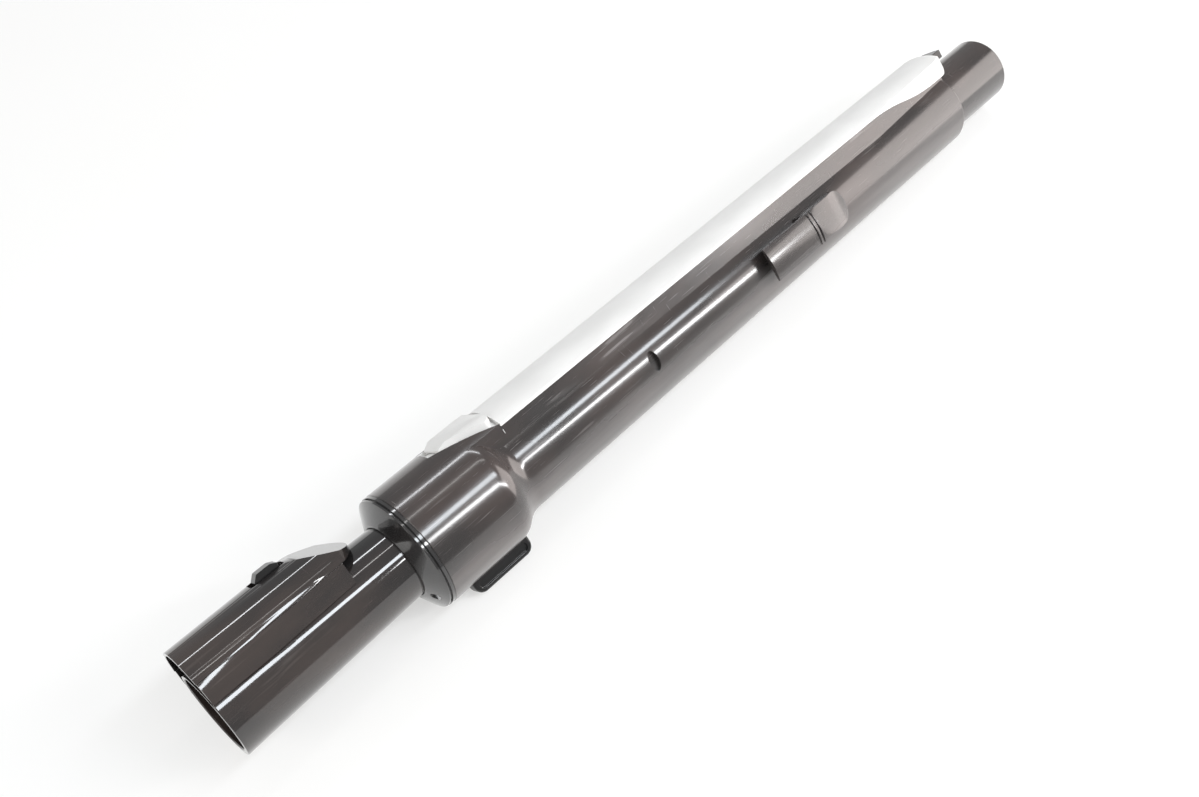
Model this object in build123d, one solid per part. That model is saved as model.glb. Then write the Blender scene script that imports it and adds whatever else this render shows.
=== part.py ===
from build123d import *

import os
from math import acos, atan, atan2, cos, degrees, hypot, radians, sin, sqrt

# Telescopic extension tube of a canister vacuum cleaner with a powered floor head.
# All sizes are millimetres. While the pieces are made, x runs along the suction axis from the nozzle
# rim to the handle end, z points to the top cover, and the accessory hook is on the -y side.

# Clearances
running_gap = 0.3  # between pieces that slide or turn past each other
fit_gap = 0.15  # around a spigot in the socket that takes it
seat_gap = 0.1  # around a piece that is set into another
pin_gap = 0.1  # around a pivot pin

# Suction passage
spigot_diameter = 36.0
spigot_length = 47.0
spigot_wall = 2.2
inner_diameter = 36.5
inner_wall = 2.0
inner_rear = 430.0
guide_gap = 0.75
extension = 240.0

# Outer tube
collar_front = 103.0
collar_length = 40.0
shoulder_length = 18.0
tube_wall = 4.0
tube_draft = 1.2  # how much the radius falls towards the handle end
tube_end = 497.0
tube_end_bevel = 1.5
bore_end = 468.0
bore_taper = 20.0
duct_width = 37.0
duct_wall = 1.5
bore_roof = 1.6
chamber_wall = 2.4
chamber_low = 4.0
chamber_side = 14.0
oval_hole_place = 243.3
oval_hole_length = 5.5
oval_hole_width = 10.6
oval_hole_depth = 2.4

# Top cover with the tray of the slide button
cover_wall = 1.3
cover_lip = 1.4
tray_front = 131.0
tray_front_width = 15.2
tray_depth = 2.5
tray_floor = 1.3
strip_front = 163.0
dip_start = 435.0
dip_length = 56.0
dip_drop = 6.4
nose_corner = 496.0
nose_width = 33.0
nose_length = 16.0
nose_round = 12.0
handle_wall_room = 3.6

# Length release
lock_height = 5.1  # between the roof of the bore and the tray floor
lock_side = 7.0  # room around the brake shoe
button_front = 136.2
button_travel = 4.0
button_crest = 9.9
button_tail = 3.9
button_rise = 2.0
button_gap = 0.8
stem_width = 5.0
stem_length = 3.5
shoe_front = 139.0
shoe_length = 11.0
shoe_width = 10.0
shoe_lift = 1.0
lip_length = 3.8
foot_thickness = 0.95
leaf_thickness = 0.3
release_spring_diameter = 2.6
release_spring_length = 6.8
release_spring_wire = 0.5

# Collar end ring
ring_length = 8.0
ring_rim = 1.6
ring_groove = 0.8
ring_lip = 1.55
ring_sleeve_step = 3.5
ring_sleeve_length = 5.0
ring_screw_inset = 6.0
ring_screw_angle = 146.0
ring_screw_diameter = 2.2
ring_screw_head = 4.4
ring_screw_length = 12.0
seal_width = 2.4
seal_height = 1.8

# Accessory hook
hook_tip = 324.5
hook_end = 388.0
hook_tongue = 33.5
hook_width = 18.0
hook_stand = 6.5
hook_plate = 2.6
hook_end_plate = 2.0
hook_rib = 0.6
hook_lug_depth = 2.0

# Parking fin
fin_front = 116.0
fin_length = 34.0
fin_slope = 7.0
fin_width = 7.0
fin_height = 8.5
fin_tip_round = 3.0
fin_pocket_depth = 1.4
fin_pocket_width = 4.2
fin_pocket_step = 1.5
fin_pocket_margin = 2.2
fin_tenon_inset = 6.0
fin_tenon_length = 20.0
fin_tenon_wall = 1.0
fin_tenon_depth = 4.0

# Nozzle socket and contact hood
rim_wall = 2.95
flare_length = 92.0
socket_depth = 46.0
socket_grip = 15.0
socket_relief = 0.2
hood_rise = 12.05
hood_seam_drop = 0.65
hood_ledge = 10.3
hood_level = 57.0
hood_bend = 32.0
hood_nose = 82.0
hood_nose_lip = 2.65
hood_taper_start = 30.0
hood_ledge_end = 72.5
hood_nose_width = 34.0
hood_nose_round = 8.0
hood_wall = 1.6
socket_wall = 1.8
gasket_width = 1.8
gasket_length = 2.2

# Nozzle latch
window_front = 40.0
window_length = 17.0
window_width = 8.6
latch_pivot = 34.0
latch_room = 3.05
latch_swing = 7.0
latch_spring_foot = 3.5
latch_spring_length = 7.5
latch_spring_clear = 1.55
latch_spring_inset = 0.5
latch_thickness = 3.0
latch_width = 5.0
post_front = 42.5
post_length = 12.0
post_width = 6.0
post_rise = 2.6
claw_front = 17.0
claw_length = 5.0
claw_bite = 1.5
pivot_pin_diameter = 2.5

# Electrical pieces
terminal_width = 18.0
terminal_length = 13.0
terminal_setback = 1.5
contact_spacing = 9.0
contact_diameter = 3.2
contact_bore = 1.9
contact_inset = 1.0
contact_floor = 2.0
pin_well_gap = 0.5
contact_rise = 4.45
handle_block_length = 30.0
handle_block_width = 16.0
handle_block_room_above = 3.0
handle_block_reach = 2.5
handle_block_step = 0.9  # over the roof of the bore
lead_diameter = 2.4
lead_spacing = 4.6
lead_duct_width = 9.6
lead_duct_height = 4.8
lead_duct_wall = 0.8
cord_gap = 0.6
carrier_length = 10.0
carrier_width = 12.0
carrier_room_above = 3.0
carrier_post = 4.4
carrier_overhang = 1.0

# Rear guide of the inner tube and the rail it slides on
bush_length = 8.0
bush_seat = 1.0
rear_seal_width = 3.0
rear_seal_place = 10.0
rail_end = 466.0
rail_width = 32.0
rail_thickness = 1.8

# Derived sizes, from the bore outwards
inner_radius = inner_diameter / 2
inner_bore = inner_diameter - 2 * inner_wall
outer_bore = inner_diameter + 2 * guide_gap
bore_roof_diameter = outer_bore + 2 * bore_roof
tray_bottom_diameter = bore_roof_diameter + 2 * lock_height
tray_top_diameter = tray_bottom_diameter + 2 * tray_floor
collar_diameter = tray_top_diameter + 2 * tray_depth
collar_radius = collar_diameter / 2
wide = 4 * collar_diameter  # reach of cuts that pass right through
collar_end = collar_front + collar_length
tube_start = collar_end + shoulder_length
tube_radius = outer_bore / 2 + tube_wall
tube_end_radius = tube_radius - tube_draft
spigot_end = tube_end + spigot_length
spigot_bore = spigot_diameter - 2 * spigot_wall
duct_half = duct_width / 2
duct_height = collar_radius - cover_wall - bore_roof_diameter / 2
cover_seam = sqrt(collar_radius**2 - duct_half**2) - cover_lip
dip_seam = cover_seam - dip_drop
nose_tip = nose_corner + nose_length
nose_clear_diameter = spigot_diameter + 2 * handle_wall_room
ring_front = collar_front - ring_length
ring_sleeve_diameter = collar_diameter - 2 * ring_sleeve_step
ring_screw_circle = collar_diameter - 2 * ring_screw_inset
seal_bore = inner_diameter + 2 * running_gap
ring_mouth_diameter = seal_bore + 2 * ring_lip
hook_reach = tube_radius + hook_stand
fin_reach = collar_radius + fin_height
socket_bore = spigot_diameter + 2 * fit_gap
socket_shell = socket_bore + 2 * socket_wall
rim_diameter = socket_bore + 2 * rim_wall
hood_diameter = rim_diameter - 2 * seat_gap
hood_top = socket_shell / 2 + hood_rise
hood_centre = hood_top - hood_diameter / 2
hood_seam = socket_shell / 2 - hood_seam_drop
hood_foot = hood_seam - hood_ledge
hood_nose_height = inner_radius + hood_nose_lip
latch_height = socket_shell / 2 + latch_room + latch_thickness / 2
lift_ratio = shoe_lift / button_travel
cord_diameter = duct_height - 2 * cord_gap
carrier_height = duct_height - carrier_room_above
handle_block_height = duct_height - handle_block_room_above


def across(x, height=0.0):
    # Plane across the tube at station x: local x to the side, local y up
    return Plane((x, 0, height), x_dir=(0, 1, 0), z_dir=(1, 0, 0))


def rod(start, end, diameter, height=0.0, side=0.0):
    return extrude(across(start, height) * Pos(side, 0) * Circle(diameter / 2), amount=end - start)


def bar(start, end, width, low, high, side=0.0):
    return Pos((start + end) / 2, side, (low + high) / 2) * Box(end - start, width, high - low)


def turned(outline):
    return revolve(Plane.XZ * make_face(outline), Axis.X)


def side_cut(outline, width=wide):
    return extrude(Plane.XZ * make_face(outline), amount=width / 2, both=True)


def plan_cut(outline, low, high):
    return extrude(Plane.XY.offset(low) * make_face(outline), amount=high - low)


def level_s(start, end):
    # Two equal arcs that leave the start level and reach the end level
    middle = ((start[0] + end[0]) / 2, (start[1] + end[1]) / 2)
    first = TangentArc(start, middle, tangent=(1, 0))
    second = TangentArc(middle, end, tangent=first % 1)
    return first + second


def tube_radius_at(x):
    share = (x - tube_start) / (tube_end - tube_end_bevel - tube_start)
    return tube_radius + share * (tube_end_radius - tube_radius)


# Plan outlines of the cable duct


def duct_plan(start, start_half, inset=0.0):
    half = duct_half - inset
    corner_half = nose_width / 2 - inset
    widest = max(strip_front, start)
    line = Polyline((widest, half), (dip_start, half), (nose_corner, corner_half))
    line += ThreePointArc((nose_corner, corner_half), (nose_tip - inset, 0), (nose_corner, -corner_half))
    line += Polyline((nose_corner, -corner_half), (dip_start, -half), (widest, -half))
    if start < widest:
        line += Polyline((widest, -half), (start, -start_half), (start, start_half), (widest, half))
    else:
        line += Line((widest, -half), (widest, half))
    return line


def tray_plan(front, width_change):
    front_half = tray_front_width / 2 + width_change
    rear_half = duct_half + width_change
    return Polyline(
        (front, front_half),
        (strip_front, rear_half),
        (strip_front, -rear_half),
        (front, -front_half),
        close=True,
    )


def duct_envelope(radius, tip):
    line = Polyline((tray_front, 0), (tray_front, radius), (tip - nose_round, radius))
    line += TangentArc((tip - nose_round, radius), (tip, radius - nose_round), tangent=(1, 0))
    line += Polyline((tip, radius - nose_round), (tip, 0), (tray_front, 0))
    return turned(line)


def above_seam():
    # Everything the top cover takes: level along the duct, dipping to the tube at the handle end
    dip_end = dip_start + dip_length
    line = Line((strip_front, wide), (strip_front, cover_seam))
    line += Line((strip_front, cover_seam), (dip_start, cover_seam))
    line += level_s((dip_start, cover_seam), (dip_end, dip_seam))
    line += Polyline((dip_end, dip_seam), (spigot_end, dip_seam), (spigot_end, wide), (strip_front, wide))
    return side_cut(line)


duct_room = plan_cut(duct_plan(strip_front, 0, duct_wall), 0, wide)
duct_room &= duct_envelope(collar_radius - cover_wall, nose_tip - cover_wall)
duct_room -= rod(0, spigot_end, bore_roof_diameter)


def handle_block_low():
    return bore_roof_diameter / 2 + handle_block_step


def handle_block_room(gap):
    # Space of the handle terminal block, which looks out under the end of the top cover
    low = handle_block_low() - gap
    high = handle_block_low() + handle_block_height + gap
    end = nose_tip + handle_block_reach + gap
    return bar(end - handle_block_length - 2 * gap, end, handle_block_width + 2 * gap, low, high)


# Outer tube, one moulding


def outer_form():
    line = Polyline((collar_front, 0), (collar_front, collar_radius), (collar_end, collar_radius))
    line += level_s((collar_end, collar_radius), (tube_start, tube_radius))
    line += Polyline(
        (tube_start, tube_radius),
        (tube_end - tube_end_bevel, tube_end_radius),
        (tube_end, tube_end_radius - tube_end_bevel),
        (tube_end, spigot_diameter / 2),
        (spigot_end, spigot_diameter / 2),
        (spigot_end, 0),
        (collar_front, 0),
    )
    form = turned(line)
    spigot_rim = form.edges().filter_by(GeomType.CIRCLE).sort_by(Axis.X)[-1]
    return chamfer(spigot_rim, spigot_wall / 3)


tube_form = outer_form()


def bore_room():
    line = Polyline(
        (collar_front, 0),
        (collar_front, outer_bore / 2),
        (bore_end, outer_bore / 2),
        (bore_end + bore_taper, spigot_bore / 2),
        (spigot_end, spigot_bore / 2),
        (spigot_end, 0),
        (collar_front, 0),
    )
    return turned(line)


def lock_room():
    # Pocket for the brake shoe and the foot of the slide button, with the shoe's slot into the bore
    room = bar(shoe_front - lock_side, strip_front, shoe_width + 2 * lock_side, 0, tray_top_diameter / 2)
    room &= rod(tray_front, strip_front, tray_bottom_diameter + 2 * seat_gap)
    room -= rod(tray_front, strip_front, bore_roof_diameter - 4 * seat_gap)
    slot = bar(
        shoe_front - running_gap,
        shoe_front + shoe_length + running_gap,
        shoe_width + 2 * running_gap,
        0,
        tray_bottom_diameter / 2,
    )
    return room + slot


def carrier_slot():
    start = inner_rear - bush_length - extension - running_gap
    end = inner_rear + running_gap
    return bar(start, end, carrier_post + 2 * running_gap, 0, collar_radius - cover_wall)


def fin_tenon(gap):
    start = fin_front + fin_tenon_inset
    width = fin_width - 2 * fin_tenon_wall + 2 * gap
    low = -collar_radius - gap
    high = -collar_radius + fin_tenon_depth + gap
    return bar(start - gap, start + fin_tenon_length + gap, width, low, high)


def hook_lug(gap):
    seat = tube_radius_at(hook_end)
    middle = (hook_tip + hook_tongue + hook_end) / 2
    reach = (hook_end - hook_tip - hook_tongue) / 4
    depth = seat - hook_lug_depth - gap
    half = hook_width / 4 + gap
    lug = bar(middle - reach - gap, middle + reach + gap, tube_radius, -half, half)
    return Pos(0, -depth - tube_radius / 2, 0) * lug


def slide_rail(gap):
    # Curved strip let into the floor of the bore, level with it
    start = collar_front + ring_sleeve_length + 2 * seat_gap
    rail = rod(start, rail_end + gap, outer_bore + 2 * rail_thickness + 2 * gap)
    rail &= bar(start, rail_end + gap, rail_width + 2 * gap, -wide, 0)
    return rail - rod(0, spigot_end, outer_bore)


def side_chambers():
    # The collar is cored out beside the lock pocket, behind the end ring
    room = rod(collar_front, collar_end - chamber_wall, collar_diameter - 2 * chamber_wall)
    room -= rod(collar_front, collar_end, bore_roof_diameter + bore_roof)
    room &= bar(collar_front, collar_end, wide, chamber_low, wide)
    return room - bar(collar_front, collar_end, 2 * chamber_side, 0, wide)


def ring_screw_places():
    for angle in (ring_screw_angle, -ring_screw_angle):
        turn = radians(angle)
        yield ring_screw_circle / 2 * sin(turn), ring_screw_circle / 2 * cos(turn)


def make_outer_tube():
    duct = plan_cut(duct_plan(tray_front, duct_half), 0, wide) & duct_envelope(collar_radius, nose_tip)
    duct &= bar(tray_front, tube_end, wide, 0, wide)
    tube = tube_form + (duct - above_seam())
    tray_cut = plan_cut(tray_plan(tray_front - seat_gap, seat_gap), 0, wide)
    tray_cut -= rod(0, spigot_end, tray_bottom_diameter - 2 * seat_gap)
    tube -= tray_cut
    tube -= lock_room()
    tube -= duct_room
    tube -= bore_room()
    tube -= carrier_slot()
    sleeve_end = collar_front + ring_sleeve_length + seat_gap
    tube -= rod(collar_front, sleeve_end, ring_sleeve_diameter + 2 * seat_gap)
    for side, height in ring_screw_places():
        depth = ring_front + ring_groove + ring_rim + ring_screw_length
        tube -= rod(collar_front, depth + seat_gap, ring_screw_diameter, height, side)
    oval = extrude(
        Plane((oval_hole_place, -wide, 0), x_dir=(1, 0, 0), z_dir=(0, 1, 0))
        * Ellipse(oval_hole_length / 2, oval_hole_width / 2),
        amount=wide - tube_radius_at(oval_hole_place) + oval_hole_depth,
    )
    tube -= oval
    tube -= side_chambers()
    tube -= slide_rail(seat_gap)
    tube -= fin_tenon(seat_gap)
    tube -= hook_lug(seat_gap)
    return tube


# Top cover: strip over the duct, round nose over the handle terminals, and the button's tray


def spring_anchor_x():
    return button_rear() - stem_gap() + release_spring_length + seat_gap


def make_top_cover():
    body = plan_cut(duct_plan(tray_front, tray_front_width / 2), 0, wide)
    body &= duct_envelope(collar_radius, nose_tip)
    strip = body & above_seam()
    strip -= duct_room
    strip -= rod(tube_end - tube_end_bevel, spigot_end, nose_clear_diameter)
    strip -= tube_form
    tongue_width = duct_width - 2 * duct_wall - 2 * seat_gap
    tray = body & bar(tray_front, strip_front + cover_wall, tongue_width, 0, wide)
    tray += body & bar(tray_front, strip_front, wide, 0, wide)
    tray -= rod(0, spigot_end, tray_bottom_diameter)
    above_tray = rod(0, strip_front, wide) - rod(0, strip_front, tray_top_diameter)
    tray -= bar(0, strip_front, wide, 0, wide) & above_tray
    cover = strip + tray
    anchor_start = spring_anchor_x()
    cover += bar(
        anchor_start,
        anchor_start + cover_wall,
        shoe_width,
        bore_roof_diameter / 2 + seat_gap,
        collar_radius - cover_wall / 2,
    )
    slot_start = button_rear() - stem_gap() - stem_length - button_travel - running_gap
    slot_end = button_rear() - stem_gap() + running_gap
    cover -= bar(slot_start, slot_end, stem_width + 2 * running_gap, 0, tray_top_diameter / 2 + running_gap)
    cover -= handle_block_room(seat_gap)
    return cover


# Slide button with the wedge foot that lifts the brake shoe


def button_rear():
    return strip_front - button_gap


def stem_gap():
    return running_gap + seat_gap


def foot_line(x):
    # Height of the foot's sloping upper face at rest
    lip_start = shoe_front + shoe_length
    return bore_roof_diameter / 2 + foot_thickness + lift_ratio * (x - lip_start)


def make_slide_button():
    slope = (duct_half - tray_front_width / 2) / (strip_front - tray_front)
    inset = slope * button_travel + running_gap
    rear = button_rear()
    front_half = tray_front_width / 2 + slope * (button_front - tray_front) - inset
    rear_half = duct_half - slope * button_gap - inset
    plan = Polyline(
        (button_front, front_half),
        (rear, rear_half),
        (rear, -rear_half),
        (button_front, -front_half),
        close=True,
    )
    length = rear - button_front
    low = tray_top_diameter / 2 + running_gap
    crest = collar_radius + button_rise
    side = Polyline(
        (button_front, 0),
        (button_front, low + button_rise / 2),
        (button_front + button_crest, crest),
        (rear - button_tail, collar_radius + button_rise / 4),
        (rear, collar_radius),
        (rear, 0),
        close=True,
    )
    button = plan_cut(plan, 0, wide) & side_cut(side)
    crown = rod(button_front, rear, 2 * (rear_half + length / 2), crest - rear_half - length / 2)
    button &= crown
    button -= rod(0, spigot_end, tray_top_diameter + 2 * running_gap)
    stem_end = rear - stem_gap()
    stem_start = stem_end - stem_length
    foot_low = bore_roof_diameter / 2 + seat_gap
    button += bar(stem_start, stem_end, stem_width, foot_low, collar_radius - seat_gap)
    foot_start = shoe_front + shoe_length + running_gap
    foot = Polyline(
        (foot_start, foot_low),
        (stem_start, foot_low),
        (stem_start, foot_line(stem_start)),
        (foot_start, foot_line(foot_start)),
        close=True,
    )
    return button + side_cut(foot, stem_width)


def make_brake_shoe():
    lip_start = shoe_front + shoe_length
    lip_end = lip_start + lip_length
    top = tray_bottom_diameter / 2 - shoe_lift - 3 * running_gap
    shoe = bar(shoe_front, lip_start, shoe_width, 0, top)
    shoe -= rod(shoe_front - running_gap, lip_end, inner_diameter + 2 * running_gap)
    channel_low = bore_roof_diameter / 2 + seat_gap - shoe_lift - running_gap
    channel = stem_width + 2 * running_gap
    shoe -= bar(shoe_front - running_gap, lip_start + running_gap, channel, channel_low, wide)
    cheek_low = bore_roof_diameter / 2 + running_gap
    shoe += bar(lip_start - running_gap, lip_end, shoe_width, cheek_low, top)
    under = Polyline(
        (lip_start - lip_length, 0),
        (lip_end + running_gap, 0),
        (lip_end + running_gap, foot_line(lip_end + running_gap) + running_gap),
        (lip_start - lip_length, foot_line(lip_start - lip_length) + running_gap),
        close=True,
    )
    return shoe - side_cut(under, channel)


def make_brake_spring():
    # Flat leaf that lies under the tray floor above the shoe, its ends bent down
    high = sqrt((tray_bottom_diameter / 2) ** 2 - (stem_width / 2) ** 2) - seat_gap
    start = shoe_front - stem_length
    end = shoe_front + shoe_length - stem_length
    strip = bar(start, end, stem_width, high - leaf_thickness, high)
    return strip + bar(start - leaf_thickness, start, stem_width, high - 2 * shoe_lift, high)


def make_button_spring():
    # Close wound tension spring from the stem to the cover's anchor rib, its turns as one sleeve
    start = button_rear() - stem_gap() + seat_gap
    end = start + release_spring_length - seat_gap
    height = bore_roof_diameter / 2 + seat_gap + release_spring_diameter / 2
    spring = rod(start, end, release_spring_diameter, height)
    return spring - rod(start, end, release_spring_diameter - 2 * release_spring_wire, height)


# Collar end ring


def make_end_ring():
    rim_radius = collar_radius - seat_gap
    groove_radius = rim_radius - ring_groove
    first_rim = collar_front - ring_rim
    second_rim = first_rim - ring_groove
    cone_start = second_rim - ring_rim
    line = Polyline(
        (ring_front, seal_bore / 2),
        (ring_front, ring_mouth_diameter / 2),
        (cone_start, groove_radius - ring_groove),
        (cone_start + ring_groove, groove_radius + ring_groove / 2),
        (second_rim, groove_radius + ring_groove / 2),
        (second_rim, groove_radius - ring_groove / 2),
        (first_rim, groove_radius - ring_groove / 2),
        (first_rim, rim_radius),
        (collar_front - seat_gap, rim_radius),
        (collar_front - seat_gap, ring_sleeve_diameter / 2),
        (collar_front + ring_sleeve_length, ring_sleeve_diameter / 2),
        (collar_front + ring_sleeve_length, seal_bore / 2),
        close=True,
    )
    ring = turned(line)
    seal_start = ring_front + ring_groove
    seal_room = seal_bore + 2 * seal_height + 2 * seat_gap
    ring -= rod(seal_start - seat_gap, seal_start + seal_width + seat_gap, seal_room)
    for side, height in ring_screw_places():
        seat = ring_front + ring_groove + ring_rim
        ring -= rod(ring_front - ring_length, seat + ring_rim, ring_screw_head + 2 * seat_gap, height, side)
        ring -= rod(ring_front, collar_front + ring_length, ring_screw_diameter + 2 * seat_gap, height, side)
    return ring


def make_end_ring_screws():
    screws = Part()
    seat = ring_front + ring_groove + 2 * ring_rim
    for side, height in ring_screw_places():
        screws += rod(seat - ring_rim, seat, ring_screw_head, height, side)
        screws += rod(seat, seat - ring_rim + ring_screw_length, ring_screw_diameter - seat_gap, height, side)
    return screws


def make_wiper_seal():
    start = ring_front + ring_groove
    seal = rod(start, start + seal_width, seal_bore + 2 * seal_height)
    return seal - rod(start, start + seal_width, seal_bore)


# Accessory hook on the side of the tube


def make_accessory_hook():
    seat = tube_radius_at(hook_tip)
    base_start = hook_tip + hook_tongue - hook_plate
    base_end_level = tube_radius_at(hook_end) + hook_end_plate
    under = hook_reach - hook_plate
    line = Line((hook_tip, -hook_reach), (hook_tip, -under))
    line += Line((hook_tip, -under), (base_start - hook_plate, -under))
    line += TangentArc((base_start - hook_plate, -under), (base_start, -under + hook_plate), tangent=(1, 0))
    line += Polyline((base_start, -under + hook_plate), (base_start, 0), (hook_end, 0))
    line += Line((hook_end, 0), (hook_end, -base_end_level))
    shoulder = hook_tip + hook_tongue + hook_plate
    line += TangentArc((shoulder, -hook_reach), (hook_end, -base_end_level), tangent=(1, 0))
    line += Line((shoulder, -hook_reach), (hook_tip, -hook_reach))
    half = hook_width / 2
    hook = extrude(Plane.XY.offset(-half) * make_face(line), amount=hook_width)
    hook &= rod(hook_tip, hook_end, 2 * hook_reach)
    ends = Line((hook_tip, half), (hook_end - half, half))
    ends += ThreePointArc((hook_end - half, half), (hook_end, 0), (hook_end - half, -half))
    ends += Polyline((hook_end - half, -half), (hook_tip, -half), (hook_tip, half))
    hook &= side_cut(ends)
    for step in (0, 1):
        place = hook_tip + hook_tongue + step * hook_plate
        rib = rod(place, place + 2 * hook_rib, 2 * (hook_reach + hook_rib))
        rib -= rod(place, place + 2 * hook_rib, 2 * hook_reach - hook_rib)
        hook += rib & Pos(0, -wide / 2, 0) * bar(hook_tip, hook_end, wide, -half, half)
    hook -= tube_form
    notch_low = half - hook_plate / 2
    notch = bar(base_start - hook_plate, base_start + hook_plate, hook_plate, notch_low, half + hook_plate)
    hook -= Pos(0, -seat - hook_plate, 0) * notch
    lug = hook_lug(0) & rod(hook_tip, hook_end, 2 * seat)
    return hook + lug


# Parking fin under the collar


def make_parking_fin():
    end = fin_front + fin_length
    side = Polyline(
        (fin_front, -collar_radius),
        (fin_front + fin_slope, -fin_reach),
        (end, -fin_reach),
        (end, 0),
        (fin_front, 0),
        close=True,
    )
    fin = side_cut(side, fin_width)
    tips = fin.edges().filter_by(lambda edge: edge.center().Z < -collar_radius - seat_gap)
    long_tips = tips.filter_by(Axis.X)
    fin = fillet(long_tips, fin_tip_round)
    pocket_length = fin_length - fin_slope - 2 * fin_pocket_margin
    pocket_place = (fin_front + fin_slope + end) / 2
    pocket_height = -collar_radius - fin_pocket_step - fin_pocket_width / 2
    pocket_plane = Plane((pocket_place, 0, pocket_height), x_dir=(1, 0, 0), z_dir=(0, -1, 0))
    pocket_floor = pocket_plane.offset(fin_width / 2 - fin_pocket_depth)
    pocket = extrude(pocket_floor * SlotOverall(pocket_length, fin_pocket_width), amount=fin_width)
    fin -= pocket + mirror(pocket, Plane.XZ)
    fin -= tube_form
    return fin + (fin_tenon(0) & rod(collar_front, tube_end, collar_diameter + fin_tip_round))


# Inner tube with the nozzle socket, one moulding


def hood_plan(end, inset=0.0, rounded=True):
    half = hood_diameter / 2 - inset
    nose_half = hood_nose_width / 2 - inset
    nose_start = hood_nose - hood_nose_round
    if not rounded:
        share = (end - hood_taper_start) / (nose_start - hood_taper_start)
        end_half = half + min(share, 1) * (nose_half - half)
        return Polyline(
            (0, half),
            (hood_taper_start, half),
            (end, end_half),
            (end, -end_half),
            (hood_taper_start, -half),
            (0, -half),
            close=True,
        )
    line = Polyline((0, half), (hood_taper_start, half), (nose_start, nose_half))
    line += ThreePointArc((nose_start, nose_half), (end - inset, 0), (nose_start, -nose_half))
    line += Polyline((nose_start, -nose_half), (hood_taper_start, -half), (0, -half), (0, half))
    return line


def hood_side(inset=0.0):
    # Level over the contacts, then bent down to the nose
    top = hood_top - inset
    nose = hood_nose_height - inset
    line = FilletPolyline((0, top), (hood_level, top), (hood_nose, nose), radius=hood_bend - inset)
    return line + Polyline((hood_nose, nose), (hood_nose, 0), (0, 0), (0, top))


def hood_round(inset=0.0):
    return rod(0, hood_nose, hood_diameter - 2 * inset, hood_centre)


def contact_room():
    # Space under the hood, open at the rim
    room = plan_cut(hood_plan(hood_nose, hood_wall), hood_foot, wide) & hood_round(hood_wall)
    room &= side_cut(hood_side(hood_wall))
    return room - rod(0, hood_nose, socket_shell)


def make_inner_tube():
    form = turned(
        Polyline(
            (0, 0),
            (0, rim_diameter / 2),
            (flare_length, inner_radius),
            (inner_rear - bush_length, inner_radius),
            (inner_rear - bush_length, inner_radius - bush_seat),
            (inner_rear, inner_radius - bush_seat),
            (inner_rear, 0),
            close=True,
        )
    )
    ledge = plan_cut(hood_plan(hood_ledge_end, 0, rounded=False), hood_foot, hood_seam)
    ledge &= hood_round() + rod(0, hood_nose, 2 * inner_radius)
    form += ledge
    form -= contact_room()
    passage = turned(
        Polyline(
            (0, 0),
            (0, socket_bore / 2),
            (socket_grip, socket_bore / 2),
            (socket_grip, socket_bore / 2 + socket_relief),
            (socket_depth, socket_bore / 2 + socket_relief),
            (socket_depth, inner_bore / 2),
            (inner_rear, inner_bore / 2),
            (inner_rear, 0),
            close=True,
        )
    )
    lead_duct = bar(
        socket_depth + socket_wall,
        inner_rear,
        lead_duct_width,
        inner_bore / 2 - lead_duct_height,
        inner_bore / 2,
    )
    lead_duct -= bar(
        socket_depth + 2 * socket_wall,
        inner_rear,
        lead_duct_width - 2 * lead_duct_wall,
        inner_bore / 2 - lead_duct_height + lead_duct_wall,
        inner_diameter / 2,
    )
    form -= passage - lead_duct
    form -= bar(
        socket_depth + 2 * socket_wall,
        hood_level,
        lead_duct_width - 2 * lead_duct_wall,
        inner_bore / 2 - lead_duct_height + lead_duct_wall,
        hood_seam + socket_wall,
    )
    seal_groove = inner_rear - rear_seal_place
    form -= rod(seal_groove - rear_seal_width - seat_gap, seal_groove + seat_gap, inner_diameter) - rod(
        0, inner_rear, inner_diameter - 2 * bush_seat
    )
    tip = latch_height - socket_bore / 2 + claw_bite
    form -= bar(
        claw_front - tip * sin(radians(latch_swing)) - running_gap,
        claw_front + claw_length + running_gap,
        latch_width + 2 * running_gap,
        0,
        hood_top,
    )
    for side in (-1, 1):
        ear_side = side * (latch_width / 2 + running_gap + hood_wall / 2)
        ear = bar(
            latch_pivot - pivot_pin_diameter,
            latch_pivot + pivot_pin_diameter,
            hood_wall,
            socket_bore / 2,
            latch_height + pivot_pin_diameter,
            ear_side,
        )
        form += ear - rod(0, hood_nose, socket_shell - socket_wall)
    form -= Pos(latch_pivot, 0, latch_height) * Rot(90, 0, 0) * Cylinder(
        pivot_pin_diameter / 2, latch_width + 3 * hood_wall
    )
    return form


def make_contact_cover():
    cover = plan_cut(hood_plan(hood_nose), hood_seam + seat_gap, wide) & hood_round() & side_cut(hood_side())
    cover -= contact_room()
    cover -= rod(0, hood_nose, inner_diameter + 2 * seat_gap)
    cover -= rod(0, hood_level, socket_shell + 2 * seat_gap)
    middle = window_front + window_length / 2
    window = Plane.XY.offset(latch_height) * Pos(middle, 0) * RectangleRounded(window_length, window_width, 2)
    return cover - extrude(window, amount=wide)


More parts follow.
